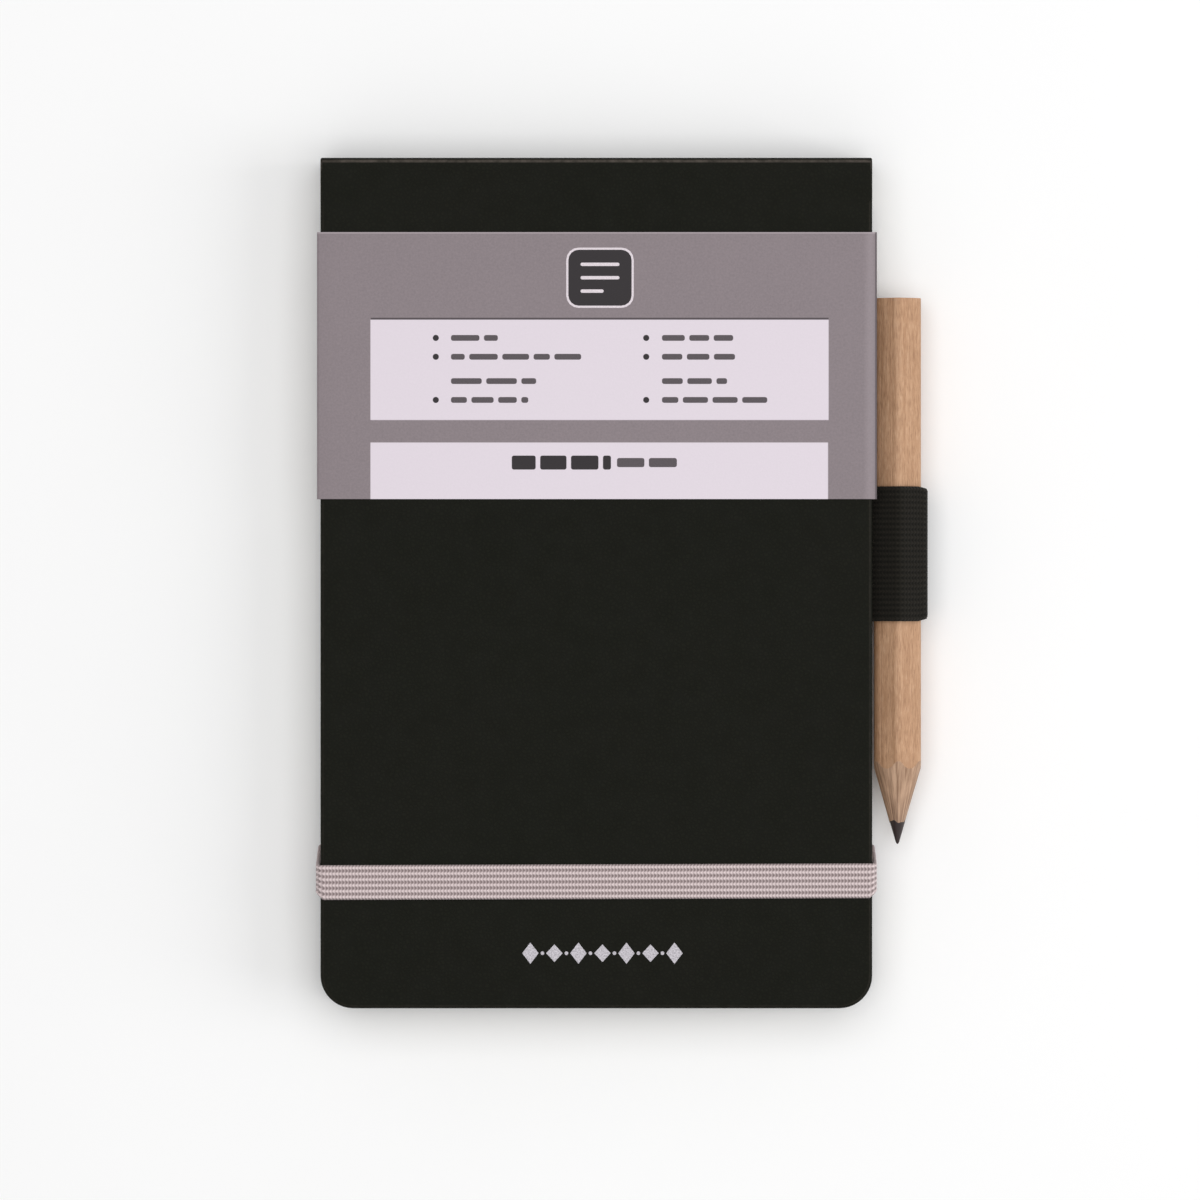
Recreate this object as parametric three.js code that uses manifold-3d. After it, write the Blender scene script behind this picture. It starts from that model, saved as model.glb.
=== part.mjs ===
// Pocket notebook: a case-bound pad that opens over its top edge, with an elastic closing strap,
// a pencil in an elastic loop, and a printed card band round the front cover.
// Millimetres. The book lies on its back cover: X across the book, Y from the free edge towards
// the spine, Z up through the thickness. The origin is the centre of the back cover's outer face.
import * as THREE from "three";
import { mergeVertices } from "three/addons/utils/BufferGeometryUtils.js";
import Module from "manifold-3d";

const wasm = await Module();
wasm.setup();

// ---- Driving dimensions -------------------------------------------------------------------------

const COVER_WIDTH = 90.8;
const COVER_HEIGHT = 140;
const CORNER_RADIUS = 5.4;

const SKIN = 0.3; // leatherette
const BOARD = 1.6; // grey board
const ENDPAPER = 0.15;
const LEAF = 0.12;
const GAP = 0.05; // between pieces that lie on each other
const TURN_IN = 12; // leatherette folded over onto the inside of a board
const PASTEDOWN_INSET = 3;

const SECTION_COUNT = 10;
const SECTION = 0.66; // ten leaves of thin writing paper
const PAGE_INSET = 2; // the pages stand this far inside the cover's three free edges
const PAGE_CORNER = 4;

const SPINE_BOARD = 1.5;
const SPINE_CORNER = 0.8;
const JOINT_GAP = 6; // bare leatherette between a board and the spine board
const COVER_HINGE_Y = 67;
const LEAF_HINGE_Y = 61.2; // where the first leaf bends, and the others a little before it
const LEAF_HINGE_STEP = 0.6;
const LINING = 0.3;

const BAND_CARD = 0.3;
const BAND_TOP = 57.7; // Y
const BAND_BOTTOM = 13.8; // Y
const BAND_LEFT = -45.95;
const BAND_RIGHT = 46.15;

const TAPE = 0.75; // elastic of the strap's ends and the loop
const TAPE_STEP_X = 43.6; // the glued tape steps down into the board here
const TAIL_END_X = 31.5;

const STRAP = 0.8;
const STRAP_WIDTH = 5.7;
const STRAP_Y = -49.15;
const STRAP_ANCHOR_Y = -46.2;

const PENCIL_FLATS = 7.66;
const PENCIL_CORNER = 0.5;
const PENCIL_X = 49.85;
const PENCIL_Z = 5.4;
const PENCIL_TOP = 47.1; // Y of the blunt end
const PENCIL_TIP = -43.2; // Y of the point
const POINT_SLOPE = 0.29; // radius gained per millimetre from the point
const POINT_RADIUS = 0.2;
const LEAD_RADIUS = 1.25;

const LOOP_X = 50; // a little off the pencil, because the tape is slacker on its outer side
const LOOP_CLEARANCE = 0.22;
const LOOP_TOP = 15.95; // Y
const LOOP_BOTTOM = -6.3; // Y

// ---- Derived places -----------------------------------------------------------------------------

const halfWidth = COVER_WIDTH / 2;
const freeEdge = -COVER_HEIGHT / 2;
const spineOuter = COVER_HEIGHT / 2;
const spineBoardOuter = spineOuter - SKIN - GAP;
const spineBoardInner = spineBoardOuter - SPINE_BOARD;
const spineInner = spineBoardInner - GAP - SKIN;
const boardEnd = spineBoardInner - JOINT_GAP; // where the cover boards stop, short of the spine

const liningY = [spineInner - GAP - LINING, spineInner - GAP];
const pageBound = liningY[0] - GAP;
const pageHalfWidth = halfWidth - PAGE_INSET;
const pageFree = freeEdge + PAGE_INSET;
const gutterStart = LEAF_HINGE_Y + 0.4;

// The layers from the back cover up, each as [lowest Z, highest Z].
let level = 0;
function layer(thickness) {
  const low = level;
  level = low + thickness + GAP;
  return [low, low + thickness];
}
const backSkinZ = layer(SKIN);
const backBoardZ = layer(BOARD);
const backTurnInZ = layer(SKIN);
const backPastedownZ = layer(ENDPAPER);
const backFlyleafZ = layer(ENDPAPER);
const sectionZ = Array.from({ length: SECTION_COUNT }, () => layer(SECTION));
const secondLeafZ = layer(LEAF);
const firstLeafZ = layer(LEAF);
const frontFlyleafZ = layer(ENDPAPER);
const bandInsideZ = layer(BAND_CARD);
const frontPastedownZ = layer(ENDPAPER);
const frontTurnInZ = layer(SKIN);
const frontBoardZ = layer(BOARD);
const frontSkinZ = layer(SKIN);
const bandOutsideZ = layer(BAND_CARD);
const closedTop = frontSkinZ[1];

const tapeLowZ = backTurnInZ[1] - TAPE; // underside of the tape where it is let into the board
const tapeHighZ = backTurnInZ[1] + GAP; // underside of the tape where it leaves over the edge
const loopY = [LOOP_BOTTOM, LOOP_TOP];
const anchorY = [STRAP_ANCHOR_Y - STRAP_WIDTH / 2, STRAP_ANCHOR_Y + STRAP_WIDTH / 2];

// ---- Materials ----------------------------------------------------------------------------------

function material(color, roughness) {
  return new THREE.MeshStandardMaterial({ color, roughness, metalness: 0 });
}
const leatherette = material(0x1e1d18, 0.55);
const greyBoard = material(0x8d8983, 0.9);
const endpaper = material(0xe9e6de, 0.85);
const paper = material(0xf3f1ea, 0.85);
const gauze = material(0xdad4c4, 0.95);
const bandCard = material(0x857a7e, 0.6);
const strapElastic = material(0xb3a3a3, 0.8);
const loopElastic = material(0x211f1a, 0.85);
const wood = material(0xb58b6d, 0.6);
const graphite = material(0x443b3b, 0.45);

// ---- Shapes -------------------------------------------------------------------------------------

// A sheet's outline: square at the spine end, with rounded corners at the free end.
function sheetOutline(half, low, high, radius) {
  const outline = new THREE.Shape();
  outline.moveTo(-half, high);
  outline.lineTo(-half, low + radius);
  outline.absarc(-half + radius, low + radius, radius, Math.PI, 1.5 * Math.PI, false);
  outline.lineTo(half - radius, low);
  outline.absarc(half - radius, low + radius, radius, 1.5 * Math.PI, 2 * Math.PI, false);
  outline.lineTo(half, high);
  outline.closePath();
  return outline;
}

// A rectangle with rounded corners.
function roundedRectangle([x0, x1], [y0, y1], radius) {
  const outline = new THREE.Shape();
  outline.absarc(x1 - radius, y1 - radius, radius, 0, 0.5 * Math.PI, false);
  outline.absarc(x0 + radius, y1 - radius, radius, 0.5 * Math.PI, Math.PI, false);
  outline.absarc(x0 + radius, y0 + radius, radius, Math.PI, 1.5 * Math.PI, false);
  outline.absarc(x1 - radius, y0 + radius, radius, 1.5 * Math.PI, 2 * Math.PI, false);
  outline.closePath();
  return outline;
}

// A hexagon round the origin with a corner at the top and its corners rounded.
function hexagon(apothem, cornerRadius) {
  const outline = new THREE.Shape();
  const reach = (apothem - cornerRadius) / Math.cos(Math.PI / 6);
  for (let corner = 0; corner < 6; corner++) {
    const facing = Math.PI / 2 + (corner * Math.PI) / 3;
    const x = reach * Math.cos(facing);
    const y = reach * Math.sin(facing);
    outline.absarc(x, y, cornerRadius, facing - Math.PI / 6, facing + Math.PI / 6, false);
  }
  outline.closePath();
  return outline;
}

function polygon(points) {
  return new THREE.Shape(points.map(([x, y]) => new THREE.Vector2(x, y)));
}

// The outline pushed up from the lowest Z to the highest.
function plate(outline, [low, high]) {
  const options = { depth: high - low, bevelEnabled: false, curveSegments: 8 };
  return new THREE.ExtrudeGeometry(outline, options).translate(0, 0, low);
}

// The outline, drawn in X and Z, pushed along Y.
function prismAlongY(outline, [low, high]) {
  const options = { depth: high - low, bevelEnabled: false, curveSegments: 6 };
  return new THREE.ExtrudeGeometry(outline, options).rotateX(Math.PI / 2).translate(0, high, 0);
}

// The outline, drawn in Y and Z, pushed along X.
function prismAlongX(outline, [low, high]) {
  const options = { depth: high - low, bevelEnabled: false, curveSegments: 6 };
  const prism = new THREE.ExtrudeGeometry(outline, options);
  return prism.rotateX(Math.PI / 2).rotateZ(Math.PI / 2).translate(low, 0, 0);
}

function box([x0, x1], [y0, y1], [z0, z1]) {
  const middle = [(x0 + x1) / 2, (y0 + y1) / 2, (z0 + z1) / 2];
  return new THREE.BoxGeometry(x1 - x0, y1 - y0, z1 - z0).translate(...middle);
}

// ---- Joining and cutting ------------------------------------------------------------------------

function solid(geometry) {
  const bare = geometry.clone();
  bare.deleteAttribute("normal");
  bare.deleteAttribute("uv");
  const merged = mergeVertices(bare, 1e-4);
  const vertProperties = new Float32Array(merged.attributes.position.array);
  const triVerts = new Uint32Array(merged.index.array);
  return new wasm.Manifold(new wasm.Mesh({ numProp: 3, vertProperties, triVerts }));
}

function geometryOf(manifold) {
  const mesh = manifold.getMesh();
  const geometry = new THREE.BufferGeometry();
  geometry.setAttribute("position", new THREE.BufferAttribute(mesh.vertProperties, 3));
  geometry.setIndex(new THREE.BufferAttribute(mesh.triVerts, 1));
  geometry.computeVertexNormals();
  return geometry;
}

const group = new THREE.Group();
function add(name, shape, itsMaterial) {
  const geometry = shape.isBufferGeometry ? shape : geometryOf(shape);
  const mesh = new THREE.Mesh(geometry, itsMaterial.clone());
  mesh.name = name;
  group.add(mesh);
}

// ---- Cover boards and their leatherette ---------------------------------------------------------

function coverBoard(zRange) {
  const inset = SKIN + GAP;
  const radius = CORNER_RADIUS - inset;
  return solid(
    plate(sheetOutline(halfWidth - inset, freeEdge + inset, boardEnd, radius), zRange),
  );
}

// Leatherette on one board: the outer sheet, three wrapped edges, and the turn-ins.
function coverSkin(outerZ, boardZ, turnInZ) {
  const low = Math.min(outerZ[0], turnInZ[0]);
  const high = Math.max(outerZ[1], turnInZ[1]);
  const past = boardEnd + 1;
  const radius = CORNER_RADIUS - SKIN;
  const whole = sheetOutline(halfWidth, freeEdge, boardEnd, CORNER_RADIUS);
  const inner = sheetOutline(halfWidth - SKIN, freeEdge + SKIN, past, radius);
  const window = sheetOutline(halfWidth - TURN_IN, freeEdge + TURN_IN, past, 1);
  return solid(plate(whole, [low, high]))
    .subtract(solid(plate(inner, [boardZ[0] - GAP, boardZ[1] + GAP])))
    .subtract(solid(plate(window, [turnInZ[0] - 0.1, turnInZ[1] + 0.1])));
}

// The shallow seats in the back cover for the ends of the loop and the strap.
const seatX = [TAIL_END_X - 0.1, TAPE_STEP_X + 0.75];
function tapeSeat([x0, x1], [y0, y1]) {
  return solid(box([x0, x1], [y0 - 0.1, y1 + 0.1], [tapeLowZ - GAP, backTurnInZ[1] + 1]));
}
const tapeSeats = wasm.Manifold.union([
  tapeSeat(seatX, loopY),
  tapeSeat(seatX, anchorY),
  tapeSeat([-seatX[1], -seatX[0]], anchorY),
]);

add("back_board", coverBoard(backBoardZ).subtract(tapeSeats), greyBoard);
add(
  "back_cover_wrap",
  coverSkin(backSkinZ, backBoardZ, backTurnInZ).subtract(tapeSeats),
  leatherette,
);
add("front_board", coverBoard(frontBoardZ), greyBoard);
add("front_cover_wrap", coverSkin(frontSkinZ, frontBoardZ, frontTurnInZ), leatherette);

// ---- Spine --------------------------------------------------------------------------------------

const fullWidth = [-halfWidth, halfWidth];
const spineBoardX = [-halfWidth + SKIN + GAP, halfWidth - SKIN - GAP];
const spineBoardZ = [backBoardZ[0], frontBoardZ[1]];
add("spine_board", box(spineBoardX, [spineBoardInner, spineBoardOuter], spineBoardZ), greyBoard);

// Leatherette round the spine board, its turned-in ends, and the tongues that reach the joints.
function spineSkin() {
  const outline = roundedRectangle([spineInner, spineOuter], [0, closedTop], SPINE_CORNER);
  const squareInside = box(fullWidth, [spineInner, spineOuter - SPINE_CORNER], [0, closedTop]);
  const pocket = box(
    [-halfWidth + SKIN, halfWidth - SKIN],
    [spineBoardInner - GAP, spineOuter - SKIN],
    [SKIN, closedTop - SKIN],
  );
  const window = box(
    [-halfWidth + TURN_IN, halfWidth - TURN_IN],
    [spineInner - 1, spineBoardInner],
    [SKIN, closedTop - SKIN],
  );
  const topTongue = box(fullWidth, [COVER_HINGE_Y + GAP, spineInner + 0.2], frontSkinZ);
  const bottomTongue = box(fullWidth, [boardEnd + GAP, spineInner + 0.2], backSkinZ);
  return solid(prismAlongX(outline, fullWidth))
    .add(solid(squareInside))
    .subtract(solid(pocket))
    .subtract(solid(window))
    .add(solid(topTongue))
    .add(solid(bottomTongue));
}
add("spine_wrap", spineSkin(), leatherette);

// The bare leatherette that bends when the front cover opens.
add("front_joint", box(fullWidth, [boardEnd + GAP, COVER_HINGE_Y], frontSkinZ), leatherette);

const blockX = [-pageHalfWidth, pageHalfWidth];
const blockZ = [backFlyleafZ[0], frontFlyleafZ[1]];
add("spine_lining", box(blockX, liningY, blockZ), gauze);

// ---- Endpapers and pages ------------------------------------------------------------------------

function pageSheet(bound, zRange) {
  return plate(sheetOutline(pageHalfWidth, pageFree, bound, PAGE_CORNER), zRange);
}
function pastedown(bound, zRange) {
  const half = halfWidth - PASTEDOWN_INSET;
  return plate(sheetOutline(half, freeEdge + PASTEDOWN_INSET, bound, 3), zRange);
}
add("back_pastedown", pastedown(pageBound, backPastedownZ), endpaper);
add("back_flyleaf", pageSheet(pageBound, backFlyleafZ), endpaper);
for (let index = 0; index < SECTION_COUNT; index++) {
  const number = String(index + 1).padStart(2, "0");
  add(`page_section_${number}`, pageSheet(pageBound, sectionZ[index]), paper);
}
add("second_leaf", pageSheet(LEAF_HINGE_Y - 2 * LEAF_HINGE_STEP, secondLeafZ), paper);
add("first_leaf", pageSheet(LEAF_HINGE_Y - LEAF_HINGE_STEP, firstLeafZ), paper);
add("front_flyleaf", pageSheet(LEAF_HINGE_Y, frontFlyleafZ), endpaper);
add("front_pastedown", pastedown(boardEnd, frontPastedownZ), endpaper);

// The bound edges of the leaves that turn, and the endpaper fold that ties them to the cover.
const leafRootZ = [secondLeafZ[0], frontFlyleafZ[1]];
add("leaf_gutter", box(blockX, [gutterStart, pageBound], leafRootZ), paper);
const foldZ = [bandInsideZ[0], bandInsideZ[0] + ENDPAPER];
const foldX = [-halfWidth + PASTEDOWN_INSET, halfWidth - PASTEDOWN_INSET];
add("front_endpaper_fold", box(foldX, [gutterStart, pageBound], foldZ), endpaper);

// ---- Card band round the front cover ------------------------------------------------------------

function cardBand() {
  const z0 = bandInsideZ[0];
  const z1 = bandOutsideZ[1];
  const outline = roundedRectangle([BAND_LEFT, BAND_RIGHT], [z0, z1], BAND_CARD);
  const hole = box(
    [BAND_LEFT + BAND_CARD, BAND_RIGHT - BAND_CARD],
    [BAND_BOTTOM - 1, BAND_TOP + 1],
    [z0 + BAND_CARD, z1 - BAND_CARD],
  );
  return solid(prismAlongY(outline, [BAND_BOTTOM, BAND_TOP])).subtract(solid(hole));
}
add("card_band", cardBand(), bandCard);

// ---- Elastic closing strap ----------------------------------------------------------------------

// The strap goes over the front and down both sides, leaning towards the spine as it goes down.
const strapTop = closedTop + GAP + STRAP;
const strapFoot = tapeHighZ + TAPE + GAP;
const strapHalf = halfWidth + GAP + STRAP;
function strapBody() {
  const y = [STRAP_Y - STRAP_WIDTH / 2, STRAP_Y + STRAP_WIDTH / 2];
  const outline = roundedRectangle([-strapHalf, strapHalf], [-strapTop, strapTop], 1);
  const inside = box(
    [-strapHalf + STRAP, strapHalf - STRAP],
    [y[0] - 1, y[1] + 1],
    [-strapTop - 1, strapTop - STRAP],
  );
  const below = box([-strapHalf - 1, strapHalf + 1], [y[0] - 1, y[1] + 1], [-99, strapFoot]);
  const upright = solid(prismAlongY(outline, y)).subtract(solid(inside)).subtract(solid(below));
  const lean = (STRAP_ANCHOR_Y - STRAP_Y) / (strapTop - strapFoot);
  const shear = new THREE.Matrix4().makeShear(0, 0, 0, 0, 0, -lean);
  return geometryOf(upright).translate(0, 0, -strapTop).applyMatrix4(shear).translate(0, 0, strapTop);
}
add("strap", strapBody(), strapElastic);

// One end of a tape: buried flat in the back cover, then stepping up and out over its edge.
function tapeEnd(outerX, yRange) {
  const step = TAPE_STEP_X;
  const outline = polygon([
    [TAIL_END_X, tapeLowZ],
    [step + 0.45, tapeLowZ],
    [step + 0.65, tapeHighZ],
    [outerX, tapeHighZ],
    [outerX, tapeHighZ + TAPE],
    [step + 0.2, tapeHighZ + TAPE],
    [step, tapeLowZ + TAPE],
    [TAIL_END_X, tapeLowZ + TAPE],
  ]);
  return solid(prismAlongY(outline, yRange));
}
const strapEnd = tapeEnd(strapHalf, anchorY);
add("strap_tail_right", strapEnd, strapElastic);
add("strap_tail_left", strapEnd.mirror([1, 0, 0]), strapElastic);

// ---- Pencil and its loop ------------------------------------------------------------------------

const pencilApothem = PENCIL_FLATS / 2;
const pointApex = PENCIL_TIP - POINT_RADIUS / POINT_SLOPE;
function atPencil(geometry) {
  return geometry.translate(PENCIL_X, 0, PENCIL_Z);
}
function atLoop(geometry) {
  return geometry.translate(LOOP_X, 0, PENCIL_Z);
}

// A turned solid about the pencil's axis that follows the sharpened point out to a radius.
function pointedRod(radius, top) {
  const profile = [
    new THREE.Vector2(0, PENCIL_TIP),
    new THREE.Vector2(POINT_RADIUS, PENCIL_TIP),
    new THREE.Vector2(radius, pointApex + radius / POINT_SLOPE),
    new THREE.Vector2(radius, top),
    new THREE.Vector2(0, top),
  ];
  return atPencil(new THREE.LatheGeometry(profile, 48));
}

function pencilWood() {
  const bar = prismAlongY(hexagon(pencilApothem, PENCIL_CORNER), [PENCIL_TIP, PENCIL_TOP]);
  const boreLength = PENCIL_TOP - PENCIL_TIP + 2;
  const bore = new THREE.CylinderGeometry(LEAD_RADIUS + GAP, LEAD_RADIUS + GAP, boreLength, 48);
  return solid(atPencil(bar))
    .intersect(solid(pointedRod(PENCIL_FLATS, PENCIL_TOP + 1)))
    .subtract(solid(atPencil(bore.translate(0, (PENCIL_TOP + PENCIL_TIP) / 2, 0))));
}
add("pencil_wood", pencilWood(), wood);
add("pencil_lead", solid(pointedRod(LEAD_RADIUS, PENCIL_TOP - GAP)), graphite);

function pencilLoop() {
  const inner = pencilApothem + LOOP_CLEARANCE;
  const innerCorner = PENCIL_CORNER + LOOP_CLEARANCE;
  const outside = prismAlongY(hexagon(inner + TAPE, innerCorner + TAPE), loopY);
  const inside = prismAlongY(hexagon(inner, innerCorner), [LOOP_BOTTOM - 1, LOOP_TOP + 1]);
  const ring = solid(atLoop(outside)).subtract(solid(atLoop(inside)));
  const rootX = LOOP_X - inner - TAPE / 3;
  return ring.add(tapeEnd(rootX, loopY));
}
add("pencil_loop", pencilLoop(), loopElastic);

export default group;
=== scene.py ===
"""Looks of the pocket notebook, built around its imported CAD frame.

Lengths in this file are millimetres; mesh_object() and metres() turn them into metres.
"""

import math
import random

import bmesh
import bpy
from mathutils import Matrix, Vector


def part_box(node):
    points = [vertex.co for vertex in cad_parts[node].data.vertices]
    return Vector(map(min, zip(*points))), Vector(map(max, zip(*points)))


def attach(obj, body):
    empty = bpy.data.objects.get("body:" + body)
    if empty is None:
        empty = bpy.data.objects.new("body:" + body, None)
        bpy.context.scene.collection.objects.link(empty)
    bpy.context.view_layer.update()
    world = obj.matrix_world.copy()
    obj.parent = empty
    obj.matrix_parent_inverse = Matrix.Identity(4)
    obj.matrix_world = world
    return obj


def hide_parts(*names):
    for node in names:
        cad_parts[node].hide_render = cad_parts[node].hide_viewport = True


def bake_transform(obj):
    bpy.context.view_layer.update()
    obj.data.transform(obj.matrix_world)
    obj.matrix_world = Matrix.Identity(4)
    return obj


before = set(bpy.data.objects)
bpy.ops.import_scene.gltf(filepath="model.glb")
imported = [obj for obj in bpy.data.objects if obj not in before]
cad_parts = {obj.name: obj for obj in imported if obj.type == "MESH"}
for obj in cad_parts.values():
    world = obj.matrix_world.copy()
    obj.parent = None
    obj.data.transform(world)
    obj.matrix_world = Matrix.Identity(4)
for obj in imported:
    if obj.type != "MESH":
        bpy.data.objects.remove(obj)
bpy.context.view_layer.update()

MM = 0.001
TAU = 2 * math.pi


def node_box(name):
    """Lowest and highest corner of a CAD node, in millimetres."""
    low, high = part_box(name)
    return [v / MM for v in low], [v / MM for v in high]


def metres(*point):
    return tuple(v * MM for v in point)


def clamp(value):
    """The value, kept between 0 and 1."""
    return max(0.0, min(1.0, value))


# ---- Places and sizes ---------------------------------------------------------------------------

# Taken from the frame.
cover_low, cover_high = node_box("front_cover_wrap")
HALF_WIDTH = cover_high[0]
FREE_EDGE = cover_low[1]
BOARD_END = cover_high[1]
INNER_Z = cover_low[2]
TOP_Z = cover_high[2]
SPINE_OUTER = node_box("spine_wrap")[1][1]
COVER_THICK = TOP_Z - INNER_Z
BAND_TOP = node_box("card_band")[1][1]

# The leatherette.
CORNER_RADIUS = 5.4
TURN_IN = 12.0
SKIN = 0.28
EDGE_RADIUS = 0.62
SPINE_RADIUS = 0.9
FOLDED = 0.62  # two layers of leatherette at the sides of the joints
SPINE_SEAM = 68.2  # where the two pieces of leatherette meet, underneath
JOINT_END = 68.3  # the front joint's leatherette is flat up to here
SPINE_START = 68.6  # and starts to turn down over the spine here
SPINE_HIGHLIGHT_START = 68  # beyond this Y the painted highlight on the shoulders is at full strength
EDGE_HIGHLIGHT = 0.15  # strength of the painted highlight on the other shoulders

# The strap, the pencil, its loop and the pages.
STRAP_Y = -49.12
STRAP_TILT = 0.0033
STRAP_WIDTH = 5.72
STRAP_ANCHOR_Y = -46.2
PENCIL_X = 49.85
PENCIL_Z = 5.4
FLATS = 7.66  # the pencil's width across its flats
LOOP_X = 50.0
PAGE_CORNER = 4.0


# ---- Material graphs ----------------------------------------------------------------------------


class Graph:
    """A material made of nodes. Sockets given as plain values are set, others are linked."""

    def __init__(self, name, bends=False, **settings):
        self.bends = bends
        self.material = bpy.data.materials.new(name)
        self.material.use_nodes = True
        self.tree = self.material.node_tree
        self.shader = self.tree.nodes["Principled BSDF"]
        for socket, value in settings.items():
            self.shader.inputs[socket.replace("_", " ")].default_value = value

    def node(self, kind, inputs=(), out=0, **properties):
        made = self.tree.nodes.new("ShaderNode" + kind)
        for key, value in properties.items():
            setattr(made, key, value)
        for key, value in dict(inputs).items():
            if isinstance(value, bpy.types.NodeSocket):
                self.tree.links.new(value, made.inputs[key])
            else:
                made.inputs[key].default_value = value
        return made.outputs[out]

    def place(self, scale=(1, 1, 1)):
        """The point on the object, in millimetres, stretched by scale."""
        if self.bends:
            point = self.node("Attribute", attribute_name="rest", out="Vector")
        else:
            point = self.node("TexCoord", out="Object")
        return self.vector("MULTIPLY", point, tuple(s / MM for s in scale))

    def axes(self, vector):
        made = self.tree.nodes.new("ShaderNodeSeparateXYZ")
        self.tree.links.new(vector, made.inputs[0])
        return made.outputs

    def math(self, operation, *values):
        return self.node("Math", enumerate(values), operation=operation)

    def vector(self, operation, *values):
        return self.node("VectorMath", enumerate(values), operation=operation)

    def noise(self, vector, size, detail=2.0, rough=0.5, out=0):
        """Noise whose features are about size millimetres."""
        inputs = {"Vector": vector, "Scale": 1 / size, "Detail": detail, "Roughness": rough}
        return self.node("TexNoise", inputs, out=out)

    def cells(self, vector, size, feature="F1", out=0):
        inputs = {"Vector": vector, "Scale": 1 / size}
        return self.node("TexVoronoi", inputs, out=out, feature=feature)

    def between(self, value, low, high, to_low=0.0, to_high=1.0):
        inputs = {0: value, 1: low, 2: high, 3: to_low, 4: to_high}
        return self.node("MapRange", inputs)

    def mix(self, factor, a, b):
        """A colour from a to b."""
        made = self.tree.nodes.new("ShaderNodeMix")
        made.data_type = "RGBA"
        for index, value in ((0, factor), (6, a), (7, b)):
            if isinstance(value, bpy.types.NodeSocket):
                self.tree.links.new(value, made.inputs[index])
            else:
                made.inputs[index].default_value = value
        return made.outputs[2]

    def attribute(self, name):
        return self.node("Attribute", attribute_name=name, out="Fac")

    def within(self, value, low, high, soft=0.06):
        """1 between low and high, falling to 0 over a soft edge."""
        rise = self.between(value, low - soft, low + soft)
        fall = self.between(value, high - soft, high + soft, 1.0, 0.0)
        return self.math("MULTIPLY", rise, fall)

    def finish(self, color=None, roughness=None, height=None, depth=0.05, strength=1.0):
        """Links the colour, the roughness, and a bump that is depth millimetres deep."""
        if color is not None:
            self.tree.links.new(color, self.shader.inputs["Base Color"])
        if roughness is not None:
            self.tree.links.new(roughness, self.shader.inputs["Roughness"])
        if height is not None:
            inputs = {"Height": height, "Distance": depth * MM, "Strength": strength}
            self.tree.links.new(self.node("Bump", inputs), self.shader.inputs["Normal"])
        return self.material


def rgb(red, green, blue):
    """A colour given as 0 to 255 display values."""

    def linear(value):
        value /= 255
        return value / 12.92 if value <= 0.04045 else ((value + 0.055) / 1.055) ** 2.4

    return (linear(red), linear(green), linear(blue), 1.0)


def leatherette():
    """A fine low pebble, nearly black, with a painted highlight on its shoulders."""
    g = Graph("leatherette", bends=True, Specular_IOR_Level=0.07)
    p = g.place()
    warped = g.vector("MULTIPLY", g.noise(p, 1.4, 2, out=1), (0.5, 0.5, 0.5))
    pebble = g.cells(g.vector("ADD", p, warped), 0.62, "DISTANCE_TO_EDGE")
    pebble = g.between(pebble, 0.0, 0.32)
    fine = g.noise(p, 0.16, 3, 0.6)
    broad = g.noise(p, 22.0, 3)
    height = g.math("ADD", pebble, g.math("MULTIPLY", fine, 0.35))
    tone = g.mix(broad, rgb(20, 22, 14), rgb(23, 23, 16))
    tone = g.mix(g.between(pebble, 0.0, 1.0, 0.55, 1.0), rgb(9, 9, 6), tone)
    # Painted highlight: the shoulders are made paler where the leatherette turns over an edge,
    # broken up by noise.
    highlight_breakup = g.between(g.noise(p, 1.6, 4, 0.7), 0.3, 0.62, 0.25, 1.0)
    tone = g.mix(g.math("MULTIPLY", g.attribute("shoulder"), highlight_breakup), tone, rgb(86, 79, 73))
    rough = g.between(g.noise(p, 3.5, 4), 0.3, 0.7, 0.48, 0.56)
    return g.finish(tone, rough, height, depth=0.045, strength=0.4)


TOP_RULE = 46.0
RULE_SPACING = 6.0


def paper(name, color, ruled=False, block=False, bends=False):
    """Paper: ruled lines on its faces if it is ruled, and cut edges with painted shade between the
    leaves on the sides of a block.
    """
    g = Graph(name, bends=bends, Specular_IOR_Level=0.2)
    p = g.place()
    fibre = g.noise(p, 0.45, 4, 0.65)
    shade = [0.93 * c for c in color[:3]] + [1.0]
    tone = g.mix(g.between(fibre, 0.3, 0.7), shade, color)
    height = g.math("MULTIPLY", fibre, 0.35)
    side = 0.0
    if block:
        sideways = g.axes(g.node("TexCoord", out="Normal"))[2]
        side = g.between(g.math("ABSOLUTE", sideways), 0.55, 0.8, 1.0, 0.0)
        leaves = g.noise(g.place((0.05, 0.05, 9.0)), 1.0, 3, 0.7)
        lines = g.math("MULTIPLY", g.between(leaves, 0.42, 0.62, 1.0, 0.0), side)
        # Painted shade: dark lines between the leaves on the block's cut sides.
        dark = [0.8 * color[0], 0.76 * color[1], 0.69 * color[2], 1.0]
        tone = g.mix(g.math("MULTIPLY", lines, 0.7), tone, dark)
        height = g.math("SUBTRACT", height, lines)
    if ruled:
        x, y, _ = g.axes(p)
        step = g.math("FRACT", g.math("DIVIDE", g.math("SUBTRACT", TOP_RULE, y), RULE_SPACING))
        rule = g.math("MULTIPLY", g.within(step, 0.46, 0.49, 0.012), g.within(x, -39, 39))
        rule = g.math("MULTIPLY", rule, g.within(y, -62, 47))
        rule = g.math("MULTIPLY", rule, g.math("SUBTRACT", 1.0, side))
        tone = g.mix(g.math("MULTIPLY", rule, 0.55), tone, rgb(150, 164, 176))
    rough = g.between(fibre, 0.2, 0.8, 0.78, 0.92)
    return g.finish(tone, rough, height, depth=0.03, strength=0.6)


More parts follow.
